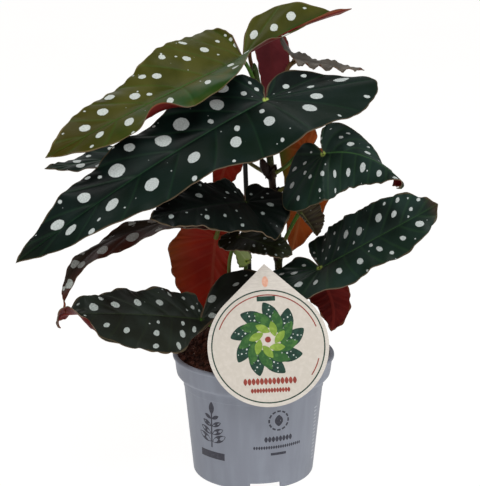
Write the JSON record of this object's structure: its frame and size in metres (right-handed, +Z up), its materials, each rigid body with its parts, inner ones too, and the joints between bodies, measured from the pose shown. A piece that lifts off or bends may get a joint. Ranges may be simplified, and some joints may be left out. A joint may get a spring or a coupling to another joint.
{
  "type": "potted houseplant",
  "caption": "Potted cane begonia: wing-shaped leaves with white spots and red undersides on arching stalks, a nursery pot with notched foot and a teardrop plant label.",
  "frame": {"origin": "centre of the pot's base, on the surface it stands on", "axes": "+Z up, -Y the front of the plant where the label hangs, +X to the right seen from the front"},
  "size_m": [0.2912, 0.1542, 0.3473],
  "materials": {
    "pot_plastic": "matt moulded polypropylene",
    "peat_soil": "crumbled dark potting peat",
    "stick_plastic": "plain black rod",
    "label_card": "printed coated card",
    "cane_skin": "green woody stem",
    "dark_leaf": "waxy dark green leaf, white spots",
    "olive_leaf": "waxy olive green leaf, white spots",
    "red_leaf": "leaf with its red underside to the front",
    "pale_leaf": "young pale green leaf"
  },
  "bodies": {
    "root": {"pot": "pot_plastic", "soil": "peat_soil", "support_stick": "stick_plastic", "plant_label": "label_card", "main_cane": "cane_skin", "short_cane": "cane_skin", "leaf_top": "olive_leaf", "leaf_pale": "pale_leaf", "leaf_great": "dark_leaf", "leaf_back_left": "dark_leaf", "leaf_right": "dark_leaf", "leaf_low_right": "dark_leaf", "leaf_middle": "dark_leaf", "leaf_arching": "dark_leaf", "leaf_low_left": "dark_leaf", "leaf_small": "dark_leaf", "leaf_crinkled": "dark_leaf", "leaf_young": "dark_leaf", "leaf_hanging_left": "red_leaf", "leaf_hanging_back": "red_leaf", "leaf_hanging_top": "red_leaf", "leaf_hanging_right": "red_leaf", "leaf_hanging_low": "red_leaf"}
  },
  "joints": []
}
